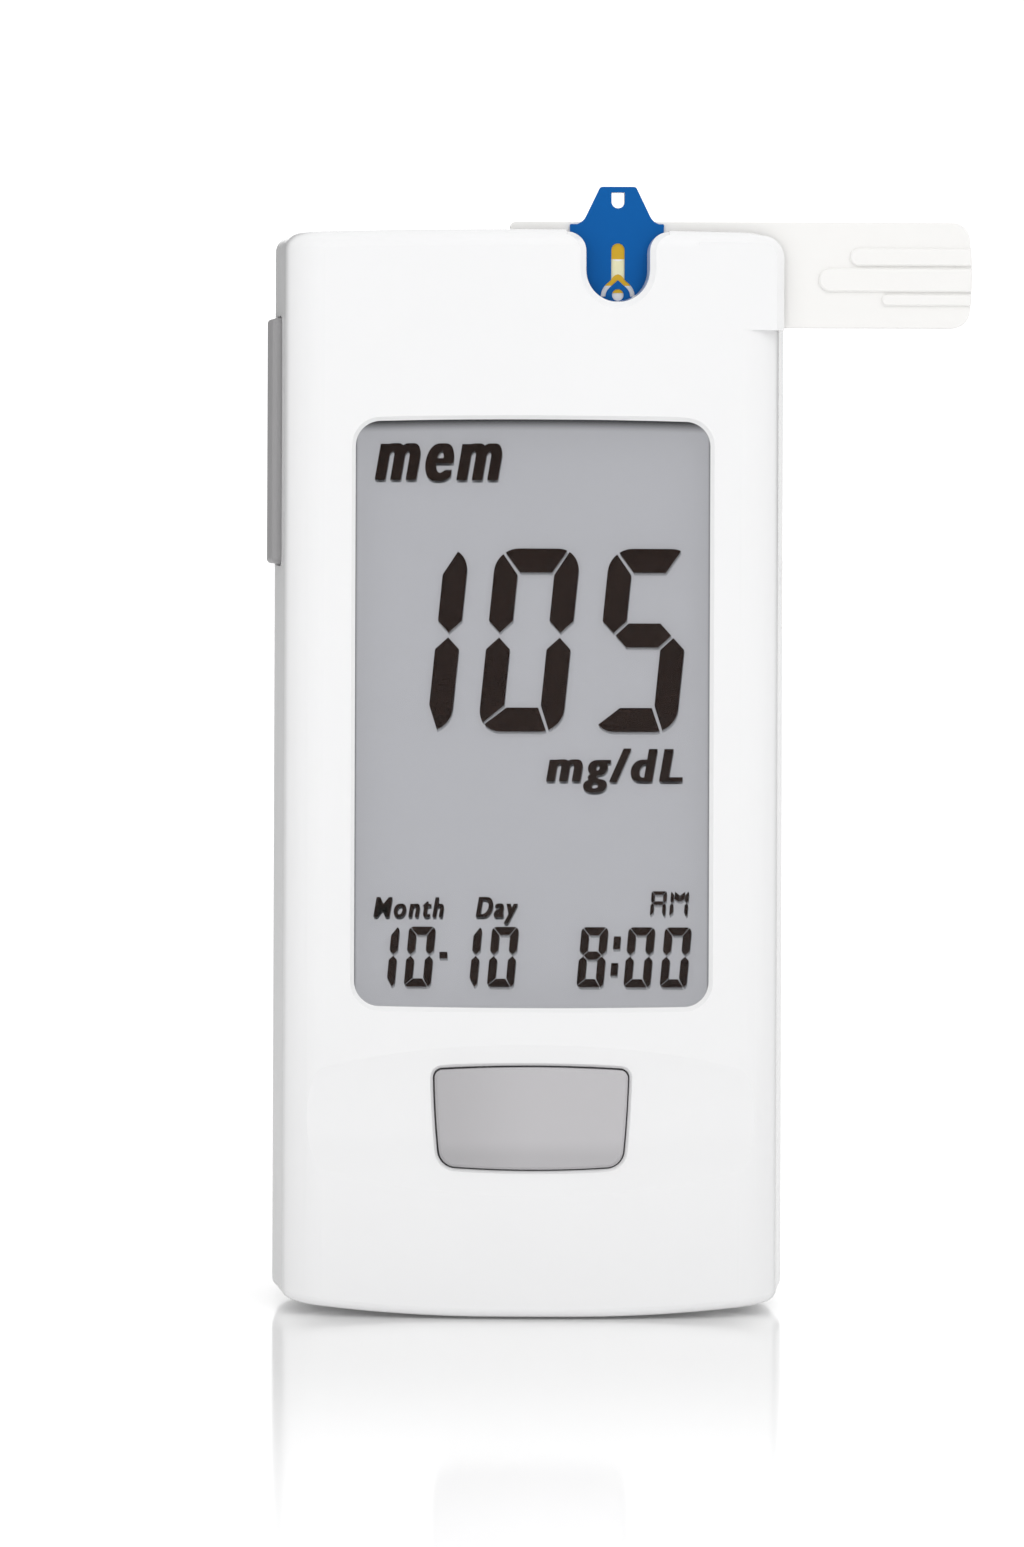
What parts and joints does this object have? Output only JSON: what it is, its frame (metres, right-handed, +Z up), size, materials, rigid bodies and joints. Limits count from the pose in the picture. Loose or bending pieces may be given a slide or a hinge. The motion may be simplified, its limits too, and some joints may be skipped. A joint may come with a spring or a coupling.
{
  "type": "blood glucose meter",
  "caption": "Upright hand-held blood glucose meter: crowned white case, tall display window, wide button in a scoop, side rocker key, battery door, test strip in its top slot.",
  "frame": {"origin": "centre of the flat foot at the lower end, on the surface that the meter stands on", "axes": "+Z up the length of the meter, -Y out of the display, +X towards the grip of the test strip"},
  "size_m": [0.0623, 0.023, 0.0994],
  "materials": {
    "front_shell": "gloss",
    "back_shell": "satin",
    "main_switch": "matte",
    "side_switches": "matte",
    "window_lens": "clear",
    "lcd_front_plate": "clear",
    "lcd_seal": "matte",
    "lcd_rear_plate": "clear",
    "lcd_reflector": "satin silver",
    "lcd_frame": "matte",
    "zebra_connector": "matte",
    "main_board": "satin solder mask",
    "processor": "matte",
    "amplifier_chips": "matte",
    "crystal": "drawn can",
    "capacitors": "fired",
    "buzzer": "matte",
    "strip_port": "matte",
    "port_contacts": "gold plated",
    "battery_left": "sleeved can",
    "battery_right": "sleeved can",
    "battery_bridge": "nickel plated",
    "positive_contact": "nickel plated",
    "negative_contact": "nickel plated",
    "case_screws": "zinc plated",
    "board_screws": "zinc plated",
    "main_button": "satin",
    "main_switch_plunger": "matte",
    "side_key": "satin",
    "battery_door": "satin",
    "strip_base": "satin translucent",
    "strip_cover": "gloss film",
    "strip_electrodes": "gold plated"
  },
  "bodies": {
    "housing": {"front_shell": "front_shell", "back_shell": "back_shell", "main_switch": "main_switch", "side_switches": "side_switches", "window_lens": "window_lens", "lcd_front_plate": "lcd_front_plate", "lcd_seal": "lcd_seal", "lcd_rear_plate": "lcd_rear_plate", "lcd_reflector": "lcd_reflector", "lcd_frame": "lcd_frame", "zebra_connector": "zebra_connector", "main_board": "main_board", "processor": "processor", "amplifier_chips": "amplifier_chips", "crystal": "crystal", "capacitors": "capacitors", "buzzer": "buzzer", "strip_port": "strip_port", "port_contacts": "port_contacts", "battery_left": "battery_left", "battery_right": "battery_right", "battery_bridge": "battery_bridge", "positive_contact": "positive_contact", "negative_contact": "negative_contact", "case_screws": "case_screws", "board_screws": "board_screws"},
    "button": {"main_button": "main_button", "main_switch_plunger": "main_switch_plunger"},
    "key": {"side_key": "side_key"},
    "door": {"battery_door": "battery_door"},
    "strip": {"strip_base": "strip_base", "strip_cover": "strip_cover", "strip_electrodes": "strip_electrodes"}
  },
  "joints": [
    {"name": "main_button_press", "type": "slide", "parent": "housing", "child": "button", "axis": [0, 1, 0], "range_m": [0, 0.0005], "stiffness_N_per_m": 1500, "springref_m": -0.0004},
    {"name": "side_key_rock", "type": "hinge", "parent": "housing", "child": "key", "pos_m": [-0.0196, 0, 0.07695], "axis": [0, 1, 0], "range_deg": [-1.7, 1.7], "stiffness_Nm_per_rad": 0.39},
    {"name": "battery_door_swing", "type": "hinge", "parent": "housing", "child": "door", "pos_m": [0, 0.01, 0.0069], "axis": [-1, 0, 0], "range_deg": [0, 60]},
    {"name": "test_strip_pull", "type": "slide", "parent": "housing", "child": "strip", "axis": [1, 0, 0], "range_m": [0, 0.042]}
  ]
}
